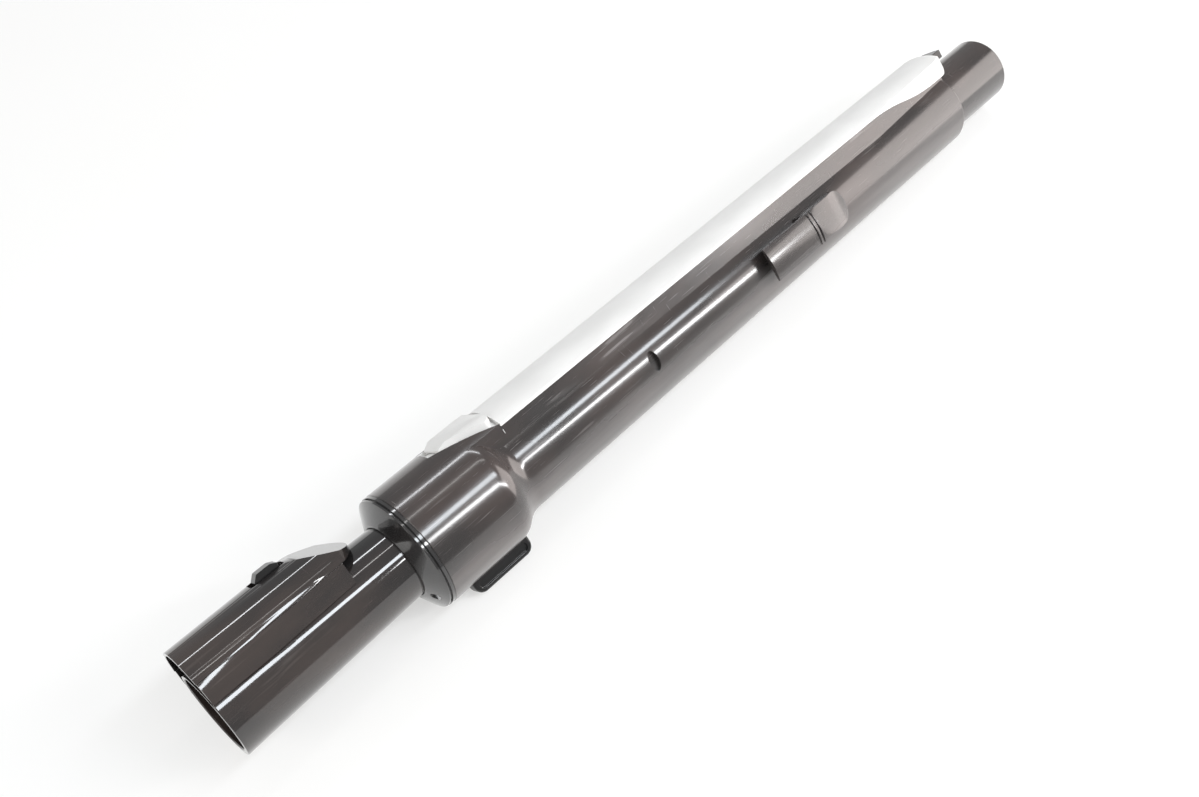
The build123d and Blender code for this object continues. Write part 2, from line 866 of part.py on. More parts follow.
def make_nozzle_latch():
    post_end = post_front + post_length
    low = latch_height - latch_thickness / 2
    high = latch_height + latch_thickness / 2
    lever = bar(claw_front, post_end, latch_width, low, high)
    crest = hood_top + post_rise
    post = Polyline(
        (post_front, low),
        (post_front, crest - post_rise),
        (post_front + post_rise, crest),
        (post_end - post_rise, crest),
        (post_end, crest - post_rise / 2),
        (post_end, low),
        close=True,
    )
    lever += side_cut(post, post_width)
    bite = socket_bore / 2 - claw_bite
    claw = Polyline(
        (claw_front, latch_height),
        (claw_front, bite + claw_bite),
        (claw_front + claw_length / 2, bite),
        (claw_front + claw_length, bite),
        (claw_front + claw_length, latch_height),
        close=True,
    )
    lever += side_cut(claw, latch_width)
    lever -= Pos(latch_pivot, 0, latch_height) * Rot(90, 0, 0) * Cylinder(
        pivot_pin_diameter / 2 + pin_gap, 2 * latch_width
    )
    return lever


def make_latch_pivot_pin():
    return Pos(latch_pivot, 0, latch_height) * Rot(90, 0, 0) * Cylinder(
        pivot_pin_diameter / 2, latch_width + 2 * running_gap + 2 * hood_wall
    )


def make_latch_spring():
    # Bent leaf on the socket wall that pushes the button end of the lever up
    floor = socket_shell / 2 + seat_gap
    start = latch_pivot + pivot_pin_diameter + running_gap
    bend = start + latch_spring_foot
    end = start + latch_spring_length
    rise = socket_shell / 2 + latch_room - latch_spring_clear - leaf_thickness
    leaf = Polyline(
        (start, floor),
        (bend, floor),
        (end, rise),
        (end, rise + leaf_thickness),
        (bend, floor + leaf_thickness),
        (start, floor + leaf_thickness),
        close=True,
    )
    return side_cut(leaf, latch_width - 2 * latch_spring_inset)


def make_socket_gasket():
    start = socket_depth - gasket_length
    ring = rod(start, socket_depth - seat_gap, socket_bore - 2 * seat_gap)
    return ring - rod(start, socket_depth, socket_bore - 2 * gasket_width)


# Electrical pieces


def nozzle_block_low():
    return socket_shell / 2 + seat_gap


def contact_height():
    return nozzle_block_low() + contact_rise


def make_nozzle_terminal_block():
    block = bar(
        terminal_setback, terminal_setback + terminal_length, terminal_width, nozzle_block_low(), hood_top
    ) & rod(0, hood_nose, hood_diameter - 2 * hood_wall - 2 * seat_gap, hood_centre)
    for side in (-1, 1):
        place = side * contact_spacing / 2
        block -= rod(0, terminal_length, contact_diameter + 2 * seat_gap, contact_height(), place)
    return block


def make_nozzle_contacts():
    sleeves = Part()
    for side in (-1, 1):
        place = side * contact_spacing / 2
        start = terminal_setback + contact_inset
        sleeve = rod(start, terminal_length, contact_diameter, contact_height(), place)
        sleeves += sleeve - rod(start, terminal_length - contact_floor, contact_bore, contact_height(), place)
    return sleeves


def make_handle_terminal_block():
    block = handle_block_room(0)
    height = handle_block_low() + handle_block_height / 2
    end = nose_tip + handle_block_reach
    for side in (-1, 1):
        well = contact_diameter + 2 * pin_well_gap
        block -= rod(end - terminal_length, end, well, height, side * contact_spacing / 2)
    return block


def make_handle_terminal_pins():
    pins = Part()
    height = handle_block_low() + handle_block_height / 2
    end = nose_tip + handle_block_reach
    for side in (-1, 1):
        place = side * contact_spacing / 2
        start = end - terminal_length
        pin = rod(start, end - contact_inset, contact_bore, height, place)
        pins += pin + rod(start, start + contact_floor, contact_diameter, height, place)
    return pins


def make_lead_wires():
    wires = Part()
    height = inner_bore / 2 - lead_duct_height + lead_duct_wall + lead_diameter / 2 + seat_gap
    for side in (-1, 1):
        start = socket_depth + 3 * socket_wall
        wires += rod(start, inner_rear - seat_gap, lead_diameter, height, side * lead_spacing / 2)
    return wires


def carrier_low():
    return bore_roof_diameter / 2 + running_gap


def make_rear_guide_bush():
    start = inner_rear - bush_length + seat_gap
    ring = rod(start, inner_rear, outer_bore - 2 * running_gap)
    ring -= rod(start, inner_rear, inner_diameter - 2 * bush_seat + 2 * seat_gap)
    return ring + bar(start, inner_rear, carrier_post, inner_radius, carrier_low() + carrier_height / 2)


def make_cord_carrier():
    end = inner_rear + carrier_overhang
    carrier = bar(end - carrier_length, end, carrier_width, carrier_low(), carrier_low() + carrier_height)
    return carrier - bar(
        inner_rear - bush_length,
        inner_rear + seat_gap,
        carrier_post + 2 * seat_gap,
        0,
        carrier_low() + carrier_height / 2 + seat_gap,
    )


def make_rear_seal():
    end = inner_rear - rear_seal_place
    ring = rod(end - rear_seal_width, end, outer_bore - 2 * running_gap)
    return ring - rod(end - rear_seal_width, end, inner_diameter - 2 * bush_seat + 2 * seat_gap)


def make_curl_cord():
    start = inner_rear + carrier_overhang + running_gap
    end = nose_tip + handle_block_reach - handle_block_length
    return rod(start, end - seat_gap, cord_diameter, bore_roof_diameter / 2 + seat_gap + cord_diameter / 2)


# How it lies: rolled until the fin's tip and the collar touch the floor, with the handle end down
fin_across = fin_width / 2 - fin_tip_round
fin_down = fin_reach - fin_tip_round
fin_lean = acos((collar_radius - fin_tip_round) / hypot(fin_across, fin_down))
roll = degrees(atan2(fin_across, fin_down) + fin_lean)
pitch = degrees(atan((collar_radius - tube_end_radius) / (tube_end - tube_end_bevel - collar_end)))
turn_over = Rot(0, pitch, 0) * Rot(-roll, 0, 0)

pieces = {
    "outer_tube": make_outer_tube(),
    "top_cover": make_top_cover(),
    "slide_button": make_slide_button(),
    "brake_shoe": make_brake_shoe(),
    "brake_spring": make_brake_spring(),
    "button_spring": make_button_spring(),
    "end_ring": make_end_ring(),
    "end_ring_screws": make_end_ring_screws(),
    "wiper_seal": make_wiper_seal(),
    "accessory_hook": make_accessory_hook(),
    "parking_fin": make_parking_fin(),
    "handle_terminal_block": make_handle_terminal_block(),
    "handle_terminal_pins": make_handle_terminal_pins(),
    "curl_cord": make_curl_cord(),
    "inner_tube": make_inner_tube(),
    "contact_cover": make_contact_cover(),
    "nozzle_latch": make_nozzle_latch(),
    "latch_pivot_pin": make_latch_pivot_pin(),
    "latch_spring": make_latch_spring(),
    "socket_gasket": make_socket_gasket(),
    "nozzle_terminal_block": make_nozzle_terminal_block(),
    "nozzle_contacts": make_nozzle_contacts(),
    "lead_wires": make_lead_wires(),
    "rear_guide_bush": make_rear_guide_bush(),
    "cord_carrier": make_cord_carrier(),
    "rear_seal": make_rear_seal(),
    "slide_rail": slide_rail(0),
}

box = Compound(children=[turn_over * piece for piece in pieces.values()]).bounding_box()
set_down = Pos(-(box.min.X + box.max.X) / 2, -(box.min.Y + box.max.Y) / 2, -box.min.Z)
placement = set_down * turn_over

os.makedirs("parts", exist_ok=True)
for name, piece in pieces.items():
    export_step(placement * piece, f"parts/{name}.step")
print("roll", round(roll, 2), "pitch", round(pitch, 2), "box", box.size)
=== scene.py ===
import bpy
from math import atan2, cos, degrees, radians, sin, sqrt, tan
from mathutils import Matrix, Vector


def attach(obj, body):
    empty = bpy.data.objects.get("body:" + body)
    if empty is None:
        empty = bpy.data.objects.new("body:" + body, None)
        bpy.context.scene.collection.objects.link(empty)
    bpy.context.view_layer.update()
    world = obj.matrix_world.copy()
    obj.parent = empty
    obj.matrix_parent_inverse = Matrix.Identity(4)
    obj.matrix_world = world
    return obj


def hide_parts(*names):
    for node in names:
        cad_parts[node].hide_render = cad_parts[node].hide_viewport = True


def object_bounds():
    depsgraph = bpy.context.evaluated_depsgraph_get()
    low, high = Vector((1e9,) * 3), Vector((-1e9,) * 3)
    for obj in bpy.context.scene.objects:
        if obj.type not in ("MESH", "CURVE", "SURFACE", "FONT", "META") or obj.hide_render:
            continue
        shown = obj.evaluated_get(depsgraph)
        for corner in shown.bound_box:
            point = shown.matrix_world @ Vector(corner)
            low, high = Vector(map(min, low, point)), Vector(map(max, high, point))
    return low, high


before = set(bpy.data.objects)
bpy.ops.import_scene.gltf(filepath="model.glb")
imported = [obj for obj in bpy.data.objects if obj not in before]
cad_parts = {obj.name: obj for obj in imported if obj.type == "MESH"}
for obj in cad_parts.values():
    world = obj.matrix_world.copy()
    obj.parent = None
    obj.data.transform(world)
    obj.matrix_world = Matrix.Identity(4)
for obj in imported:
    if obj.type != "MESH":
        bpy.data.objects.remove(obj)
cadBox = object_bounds()
scene = bpy.context.scene
scene.view_settings.view_transform = "Standard"
mm = 0.001
wandSet = dict(turn=(-41.61, 1.25, 0), place=(-0.271893, -0.000216, 0.032769))  # how the wand lies
print("frame loaded,", len(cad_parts), "nodes")

# camera, fitted to the rim, the collar and the far spigot of the photo
cameraSet = dict(place=(-0.30212, -0.28106, 0.49313), turn=(38.507, 3.768, -46.656), lens=38.05)
bpy.ops.object.camera_add(location=cameraSet["place"], rotation=[radians(a) for a in cameraSet["turn"]])
camera = bpy.context.object
camera.data.lens = cameraSet["lens"]
camera.data.sensor_width = 36
camera.data.clip_start = 0.01
scene.camera = camera
print("camera set")


# small helpers for picking and for material nodes
def clearPick():
    if bpy.context.object and bpy.context.object.mode != "OBJECT":
        bpy.ops.object.mode_set(mode="OBJECT")
    bpy.ops.object.select_all(action="DESELECT")


def takeUp(piece):
    clearPick()
    piece.select_set(True)
    bpy.context.view_layer.objects.active = piece


def newFinish(name):
    finish = bpy.data.materials.new(name)
    finish.use_nodes = True
    tree = finish.node_tree
    return finish, tree, tree.nodes["Principled BSDF"]


def grain(tree, stretch, turn=(0, 0, 0), detail=4.0):
    # noise on object coordinates, stretched per axis, in waves per metre
    spot = tree.nodes.new("ShaderNodeTexCoord")
    mapping = tree.nodes.new("ShaderNodeMapping")
    mapping.inputs["Scale"].default_value = stretch
    mapping.inputs["Rotation"].default_value = [radians(a) for a in turn]
    noise = tree.nodes.new("ShaderNodeTexNoise")
    noise.inputs["Scale"].default_value = 1.0
    noise.inputs["Detail"].default_value = detail
    tree.links.new(spot.outputs["Object"], mapping.inputs["Vector"])
    tree.links.new(mapping.outputs["Vector"], noise.inputs["Vector"])
    return noise.outputs["Fac"]


def ramp(tree, source, low, high, fromValue=0.0, toValue=1.0):
    node = tree.nodes.new("ShaderNodeMapRange")
    node.interpolation_type = "SMOOTHSTEP"
    node.inputs["From Min"].default_value = low
    node.inputs["From Max"].default_value = high
    node.inputs["To Min"].default_value = fromValue
    node.inputs["To Max"].default_value = toValue
    tree.links.new(source, node.inputs["Value"])
    return node.outputs["Result"]


def sums(tree, kind, first, second):
    node = tree.nodes.new("ShaderNodeMath")
    node.operation = kind
    for socket, value in zip(node.inputs, (first, second)):
        if isinstance(value, (int, float)):
            socket.default_value = value
        else:
            tree.links.new(value, socket)
    return node.outputs["Value"]


def mixTones(tree, share, first, second):
    node = tree.nodes.new("ShaderNodeMix")
    node.data_type = "RGBA"
    tree.links.new(share, node.inputs[0])
    for socket, value in ((node.inputs[6], first), (node.inputs[7], second)):
        if isinstance(value, tuple):
            socket.default_value = (*value, 1)
        else:
            tree.links.new(value, socket)
    return node.outputs[2]


def bumps(tree, shader, height, depth, strength=1.0):
    node = tree.nodes.new("ShaderNodeBump")
    node.inputs["Strength"].default_value = strength
    node.inputs["Distance"].default_value = depth
    tree.links.new(height, node.inputs["Height"])
    tree.links.new(node.outputs["Normal"], shader.inputs["Normal"])


def wornGlossFloorSheen(name, dark, light, scuffAndSheenTone, rough, scuffShare, hairShare, floorSheenShare=0.0):
    # glossy moulded plastic with rub marks along the tube, fine hairlines and a pale painted reflection of the floor
    # on one flank
    finish, tree, shader = newFinish(name)
    clouds = grain(tree, (14, 40, 40), detail=3)
    rubs = ramp(tree, grain(tree, (16, 420, 420), (0, 0, 2), detail=6), 0.56, 0.70)
    places = ramp(tree, grain(tree, (22, 30, 30), detail=2), 0.48, 0.66)
    hairs = ramp(tree, grain(tree, (26, 2600, 2600), (0, 0, 7), detail=3), 0.66, 0.72)
    cross = ramp(tree, grain(tree, (1400, 90, 90), (0, 0, 24), detail=3), 0.70, 0.76)
    rubbed = sums(tree, "MULTIPLY", sums(tree, "MULTIPLY", rubs, places), scuffShare)
    lines = sums(tree, "MULTIPLY", sums(tree, "MAXIMUM", hairs, cross), hairShare)
    spot = tree.nodes.new("ShaderNodeTexCoord")
    apart = tree.nodes.new("ShaderNodeSeparateXYZ")
    tree.links.new(spot.outputs["Object"], apart.inputs["Vector"])
    # painted reflection: the low flank on the camera side (object coordinates equal world ones here) is mixed in
    # patches toward the pale tone, standing in for the floor's reflection
    outward = ramp(tree, apart.outputs["Y"], -0.013, -0.023)
    flank = sums(tree, "MULTIPLY", outward, ramp(tree, apart.outputs["Z"], 0.046, 0.030))
    patchy = ramp(tree, grain(tree, (18, 160, 160), detail=5), 0.25, 0.75, 0.45, 1.0)
    paintedFloorSheen = sums(tree, "MULTIPLY", sums(tree, "MULTIPLY", flank, patchy), floorSheenShare)
    # rub marks and hairlines are wear; the flank part is painted floor reflection, which also raises the roughness
    # there
    wearAndFloorSheen = sums(tree, "MAXIMUM", sums(tree, "MAXIMUM", rubbed, lines), paintedFloorSheen)
    body = mixTones(tree, ramp(tree, clouds, 0.35, 0.7), dark, light)
    tree.links.new(mixTones(tree, wearAndFloorSheen, body, scuffAndSheenTone), shader.inputs["Base Color"])
    haze = ramp(tree, grain(tree, (40, 120, 120), detail=5), 0.3, 0.8, rough, rough + 0.06)
    tree.links.new(sums(tree, "ADD", haze, sums(tree, "MULTIPLY", wearAndFloorSheen, 0.5)), shader.inputs["Roughness"])
    wave = sums(tree, "ADD", sums(tree, "MULTIPLY", clouds, 0.3), sums(tree, "MULTIPLY", rubbed, -0.4))
    bumps(tree, shader, wave, 0.00003, 0.25)
    shader.inputs["IOR"].default_value = 1.56
    shader.inputs["Coat Weight"].default_value = 0.6
    shader.inputs["Coat Roughness"].default_value = rough * 0.6
    shader.inputs["Coat IOR"].default_value = 1.6
    return finish


def mouldedPlastic(name, dark, light, rough, waves=900, depth=0.00002, metal=0.0):
    # fine even grain with a slow change of tone, for the smaller mouldings, rubber and metal
    finish, tree, shader = newFinish(name)
    tone = ramp(tree, grain(tree, (45, 70, 70), detail=5), 0.3, 0.7)
    tree.links.new(mixTones(tree, tone, dark, light), shader.inputs["Base Color"])
    fine = grain(tree, (waves, waves, waves), detail=4)
    tree.links.new(ramp(tree, fine, 0.2, 0.8, rough - 0.05, rough + 0.08), shader.inputs["Roughness"])
    bumps(tree, shader, fine, depth, 0.2)
    shader.inputs["Metallic"].default_value = metal
    return finish


# the last value given for tube and socket is the share of painted floor reflection on the lower flank
finishes = dict(
    tube=wornGlossFloorSheen(
        "darkTubeGloss", (0.026, 0.023, 0.022), (0.056, 0.042, 0.038), (0.27, 0.245, 0.235), 0.17, 0.42, 0.24, 0.42,
    ),
    socket=wornGlossFloorSheen(
        "socketGloss", (0.017, 0.016, 0.016), (0.046, 0.035, 0.031), (0.20, 0.165, 0.15), 0.06, 0.14, 0.08, 0.22,
    ),
    ring=wornGlossFloorSheen(
        "ringGloss", (0.022, 0.021, 0.021), (0.034, 0.031, 0.030), (0.16, 0.15, 0.15), 0.10, 0.12, 0.10,
    ),
    strip=mouldedPlastic("paleStrip", (0.75, 0.742, 0.725), (0.80, 0.792, 0.775), 0.34, 1600, 0.00002),
    black=mouldedPlastic("blackMoulding", (0.012, 0.012, 0.012), (0.020, 0.019, 0.019), 0.16),
    matt=mouldedPlastic("mattBlack", (0.014, 0.014, 0.014), (0.022, 0.021, 0.020), 0.45),
    rubber=mouldedPlastic("sealRubber", (0.012, 0.012, 0.012), (0.020, 0.019, 0.019), 0.62, 1400),
    brass=mouldedPlastic("contactBrass", (0.62, 0.44, 0.17), (0.72, 0.54, 0.24), 0.28, 1200, 0.00001, 1.0),
    steel=mouldedPlastic("springSteel", (0.42, 0.42, 0.43), (0.56, 0.56, 0.57), 0.30, 1500, 0.00001, 1.0),
    nylon=mouldedPlastic("guideNylon", (0.42, 0.41, 0.38), (0.50, 0.49, 0.46), 0.42),
    lead=mouldedPlastic("leadSleeve", (0.020, 0.020, 0.021), (0.035, 0.034, 0.034), 0.48, 1100),
)
print("finishes made:", len(finishes))

nodeFinish = dict(
    outer_tube="tube", top_cover="strip", slide_button="strip", brake_shoe="matt", brake_spring="steel",
    button_spring="steel", end_ring="ring", end_ring_screws="steel", wiper_seal="rubber", accessory_hook="tube",
    parking_fin="black", handle_terminal_block="black", handle_terminal_pins="brass", curl_cord="lead",
    inner_tube="socket", contact_cover="socket", nozzle_latch="black", latch_pivot_pin="steel",
    latch_spring="steel", socket_gasket="rubber", nozzle_terminal_block="matt", nozzle_contacts="brass",
    lead_wires="lead", rear_guide_bush="nylon", cord_carrier="matt", rear_seal="rubber", slide_rail="steel",
)
for nodeName, finishName in nodeFinish.items():
    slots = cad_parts[nodeName].data.materials
    slots.clear()
    slots.append(finishes[finishName])


def layDown(piece):
    # from the wand's own axes to how it lies on the table, with its place in the mesh
    takeUp(piece)
    piece.rotation_euler = [radians(a) for a in wandSet["turn"]]
    piece.location = wandSet["place"]
    bpy.ops.object.transform_apply(location=True, rotation=True, scale=True)


def standsFor(piece, nodeName, bodyName, finishName, angle=32):
    takeUp(piece)
    bpy.ops.object.shade_smooth_by_angle(angle=radians(angle))
    even = piece.modifiers.new("even", "WEIGHTED_NORMAL")
    even.keep_sharp = True
    bpy.ops.object.modifier_apply(modifier="even")
    piece.data.materials.clear()
    piece.data.materials.append(finishes[finishName])
    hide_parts(nodeName)
    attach(piece, bodyName)


def turnedPiece(name, outline, sides):
    # a ring drawn out along the axis, station by station, and closed on itself
    clearPick()
    start, radius = outline[0]
    place, turn = (start * mm, 0, 0), (0, radians(90), 0)
    bpy.ops.mesh.primitive_circle_add(vertices=sides, radius=radius * mm, location=place, rotation=turn)
    piece = bpy.context.object
    piece.name = name
    bpy.ops.object.transform_apply(location=True, rotation=True, scale=True)
    bpy.ops.object.mode_set(mode="EDIT")
    bpy.ops.mesh.select_all(action="SELECT")
    for station, reach in outline[1:] + outline[:1]:
        bpy.ops.mesh.extrude_region_move(TRANSFORM_OT_translate=dict(value=((station - start) * mm, 0, 0)))
        share = reach / radius
        bpy.ops.transform.resize(value=(1, share, share), center_override=(station * mm, 0, 0))
        start, radius = station, reach
    bpy.ops.mesh.select_all(action="SELECT")
    bpy.ops.mesh.remove_doubles(threshold=0.000001)
    bpy.ops.mesh.normals_make_consistent(inside=False)
    bpy.ops.object.mode_set(mode="OBJECT")
    return piece


def drawnPrism(name, outline, plane, low, high):
    # a flat outline filled and drawn up: "plan" along z, "section" along x
    clearPick()
    bpy.ops.mesh.primitive_circle_add(vertices=len(outline), radius=mm, fill_type="NGON")
    piece = bpy.context.object
    piece.name = name
    for vertex, (a, b) in zip(piece.data.vertices, outline):
        vertex.co = (a * mm, b * mm, low * mm) if plane == "plan" else (low * mm, a * mm, b * mm)
    rise = (high - low) * mm
    bpy.ops.object.mode_set(mode="EDIT")
    bpy.ops.mesh.select_all(action="SELECT")
    move = (0, 0, rise) if plane == "plan" else (rise, 0, 0)
    bpy.ops.mesh.extrude_region_move(TRANSFORM_OT_translate=dict(value=move))
    bpy.ops.mesh.select_all(action="SELECT")
    bpy.ops.mesh.normals_make_consistent(inside=False)
    bpy.ops.object.mode_set(mode="OBJECT")
    return piece


def standUp(piece):
    # a shape drawn flat as (x, z) is turned to stand along the tube
    takeUp(piece)
    piece.rotation_euler = (radians(90), 0, 0)
    bpy.ops.object.transform_apply(location=True, rotation=True, scale=True)


def mirrored(points):
    # a half outline closed by its mirror image in the second value
    return points + [(a, -b) for a, b in reversed(points)]


def roundBar(name, radius, low, high, height=0.0, count=179):
    # a bar along the tube with fine sides
    lastTurn = 360 - 360 / (count + 1)
    return drawnPrism(name, arcPoints((0, height), radius, 0, lastTurn, count), "section", low, high)


def combine(piece, tool, kind):
    takeUp(piece)
    join = piece.modifiers.new("join", "BOOLEAN")
    join.operation = kind
    join.object = tool
    join.solver = "EXACT"
    bpy.ops.object.modifier_apply(modifier="join")
    bpy.data.objects.remove(tool)


def softEdges(piece, width, steps, angle):
    takeUp(piece)
    soften = piece.modifiers.new("soften", "BEVEL")
    soften.width = width * mm
    soften.segments = steps
    soften.limit_method = "ANGLE"
    soften.angle_limit = radians(angle)
    bpy.ops.object.modifier_apply(modifier="soften")


def arcPoints(centre, radius, fromTurn, toTurn, count):
    turns = [radians(fromTurn + (toTurn - fromTurn) * k / count) for k in range(count + 1)]
    return [(centre[0] + radius * cos(t), centre[1] + radius * sin(t)) for t in turns]


def levelBend(start, end, count):
    # two equal arcs that leave level and arrive level
    run, drop = (end[0] - start[0]) / 2, (end[1] - start[1]) / 2
    points = []
    for k in range(1, 2 * count + 1):
        along = k / count
        rho = (run * run + drop * drop) / (2 * abs(drop))
        reach = run * min(along, 2 - along)
        bow = (rho - sqrt(rho * rho - reach * reach)) * (1 if drop > 0 else -1)
        points.append((start[0] + run * along, start[1] + bow if along <= 1 else end[1] - bow))
    return points


# outer tube: collar, shoulder, long tube, duct walls and handle spigot
outerSet = dict(
    collarFront=103, collarEnd=143, collarRadius=29.5,
    tubeStart=161, tubeRadius=23.0, tubeEnd=497, endRadius=21.8,
    endRound=1.5, spigotEnd=544, spigotRadius=18.0, spigotBore=15.8, bore=19.0, boreEnd=468, boreTaper=20,
    ringSeat=26.1, ringSeatEnd=108.1, ductStart=140, ductTop=34, ductHalf=18.5, noseHalf=16.5,
    seam=21.58, dipStart=435, dipEnd=491, dipSeam=15.18,
    stripFront=163, trayFront=130.9, trayHalf=7.7, trayFloor=25.6,
    ovalPlace=243.3, ovalSize=(5.5, 10.6), ovalDepth=2.4, spigotBevel=0.8, rimRound=0.5, edge=0.35, sides=160,
)


def makeOuterTube():
    o = outerSet
    r, front, low = o["rimRound"], o["collarFront"], o["collarRadius"] - o["rimRound"]
    outline = [(o["ringSeatEnd"], o["ringSeat"]), (front, o["ringSeat"]), (front, low)]
    outline += arcPoints((front + r, low), r, 180, 90, 3)[1:]
    outline += [(o["collarEnd"], o["collarRadius"])]
    outline += levelBend((o["collarEnd"], o["collarRadius"]), (o["tubeStart"], o["tubeRadius"]), 6)
    r = o["endRound"]
    outline += arcPoints((o["tubeEnd"] - r, o["endRadius"] - r), r, 90, 0, 5)
    bevel = o["spigotBevel"]
    outline += [(o["tubeEnd"], o["spigotRadius"]), (o["spigotEnd"] - bevel, o["spigotRadius"])]
    outline += [(o["spigotEnd"], o["spigotRadius"] - bevel)]
    outline += [(o["spigotEnd"], o["spigotBore"]), (o["boreEnd"] + o["boreTaper"], o["spigotBore"])]
    outline += [(o["boreEnd"], o["bore"]), (o["ringSeatEnd"], o["bore"])]
    shell = turnedPiece("outerTube", outline, o["sides"])
    half, nose = o["ductHalf"], o["noseHalf"]
    start, end, top = o["ductStart"], o["tubeEnd"] - 0.05, o["ductTop"]
    dip = (o["dipStart"], o["seam"])
    sideFace = [(start, 0), (start, o["seam"]), dip] + levelBend(dip, (o["dipEnd"], o["dipSeam"]), 8)
    sideFace += [(end, o["dipSeam"]), (end, 0)]
    duct = drawnPrism("duct", [(half, 0), (half, top), (-half, top), (-half, 0)], "section", start, end)
    keep = drawnPrism("keep", sideFace, "plan", -half - 2, half + 2)
    standUp(keep)
    run = (498 - o["dipStart"]) / (half - nose)
    taper = [(139, half + 1), (o["dipStart"] - run, half + 1), (498, nose)]
    plan = drawnPrism("plan", mirrored(taper), "plan", -1, 40)
    combine(duct, keep, "INTERSECT")
    combine(duct, plan, "INTERSECT")
    arch = arcPoints((0, 0), o["collarRadius"] - 0.03, 51.2, 128.8, 24)
    block = [(half - 0.02, 5)] + arch + [(0.02 - half, 5)]
    combine(duct, drawnPrism("front", block, "section", start + 0.2, o["stripFront"]), "UNION")
    combine(duct, roundBar("hollow", o["bore"] + 1.2, 120, 500, count=39), "DIFFERENCE")
    combine(shell, duct, "UNION")
    corners = [(o["trayFront"], o["trayHalf"]), (o["stripFront"], half + 0.1)]
    tray = drawnPrism("tray", mirrored(corners), "plan", 10, 40)
    combine(tray, roundBar("core", o["trayFloor"], 100, 200, count=119), "DIFFERENCE")
    combine(shell, tray, "DIFFERENCE")
    clearPick()
    bpy.ops.mesh.primitive_cylinder_add(vertices=48, radius=mm, depth=20 * mm, rotation=(radians(90), 0, 0))
    oval = bpy.context.object
    oval.scale = (o["ovalSize"][0] / 2, o["ovalSize"][1] / 2, 1)
    oval.location = (o["ovalPlace"] * mm, -(o["tubeRadius"] - o["ovalDepth"] + 9.7) * mm, 0)
    bpy.ops.object.transform_apply(location=True, rotation=True, scale=True)
    combine(shell, oval, "DIFFERENCE")
    softEdges(shell, o["edge"], 2, 42)
    layDown(shell)
    standsFor(shell, "outer_tube", "outer", "tube")


# hooded cover over the nozzle contacts, level at the rim and bent down to a round nose
hoodSet = dict(
    radius=20.98, centre=11.0, seamTurn=23.7, level=57, bend=32.0, top=31.98, taperStart=30,
    nose=82, noseHeight=20.9, noseHalf=17.0, noseStart=74, wall=1.6, roomEnd=54,
    window=(40.0, 57.0), windowHalf=4.3, windowRound=2.0, edge=0.5,
)


# inner tube with the flared nozzle socket and the ledge under the contact cover
innerSet = dict(
    rim=21.1, rimRound=0.6, flareEnd=92, radius=18.25, rear=430, rearSeat=422, rearRadius=17.25, bore=16.25,
    socketDepth=46, socketBore=18.25, ledgeEnd=72.5, ledgeCore=18.1, edge=0.25, sides=160,
)


def hoodPlan(name, trim):
    # plan of the hood: straight at the rim, drawn in to a round nose
    h = hoodSet
    half, nose = h["noseHalf"] - trim, h["nose"] - trim
    slope = (h["radius"] - h["noseHalf"]) / (h["noseStart"] - h["taperStart"])
    tip = h["nose"] - h["noseStart"]
    noseRadius = (half**2 + tip**2) / (2 * tip)
    turn = degrees(atan2(half, noseRadius - tip))
    start, wide = h["taperStart"] - 2 / slope, h["radius"] + 2
    outline = [(-1, wide), (start, wide)] + arcPoints((nose - noseRadius, 0), noseRadius, turn, -turn, 24)
    outline += [(start, -wide), (-1, -wide)]
    return drawnPrism(name, outline, "plan", -5, 45)


def makeInnerTube():
    i, h = innerSet, hoodSet
    r, low = i["rimRound"], i["rim"] - i["rimRound"]
    outline = [(0.5, i["socketBore"]), (0, i["socketBore"] + 0.5), (0, low)] + arcPoints((r, low), r, 180, 90, 3)[1:]
    outline += [(i["flareEnd"], i["radius"]), (i["rearSeat"], i["radius"])]
    outline += [(i["rearSeat"], i["rearRadius"]), (i["rear"], i["rearRadius"])]
    outline += [(i["rear"], i["bore"]), (i["socketDepth"], i["bore"]), (i["socketDepth"], i["socketBore"])]
    shell = turnedPiece("innerTube", outline, i["sides"])
    arch = arcPoints((0, h["centre"]), h["radius"], -5, 23.3, 10)
    section = arch + [(-y, z) for y, z in reversed(arch)]
    ledge = drawnPrism("ledge", section, "section", 0.3, i["ledgeEnd"])
    share = (i["ledgeEnd"] - h["taperStart"]) / (h["noseStart"] - h["taperStart"])
    endHalf = h["radius"] + share * (h["noseHalf"] - h["radius"])
    corners = [(-1, h["radius"] + 1), (h["taperStart"], h["radius"]), (i["ledgeEnd"] + 1, endHalf)]
    combine(ledge, drawnPrism("plan", mirrored(corners), "plan", -5, 40), "INTERSECT")
    combine(ledge, roundBar("core", i["ledgeCore"], -5, 100, count=119), "DIFFERENCE")
    arch = arcPoints((0, h["centre"]), h["radius"] - 0.2, -20, 200, 40)
    inside = drawnPrism("inside", [(y * 0.92, z) for y, z in arch], "section", -2, 60)
    combine(inside, roundBar("shaft", 19.9, -5, 100, count=119), "DIFFERENCE")
    combine(inside, hoodPlan("room", 1.8), "INTERSECT")
    combine(shell, ledge, "UNION")
    combine(shell, inside, "DIFFERENCE")
    softEdges(shell, i["edge"], 2, 42)
    layDown(shell)
    standsFor(shell, "inner_tube", "inner", "socket")


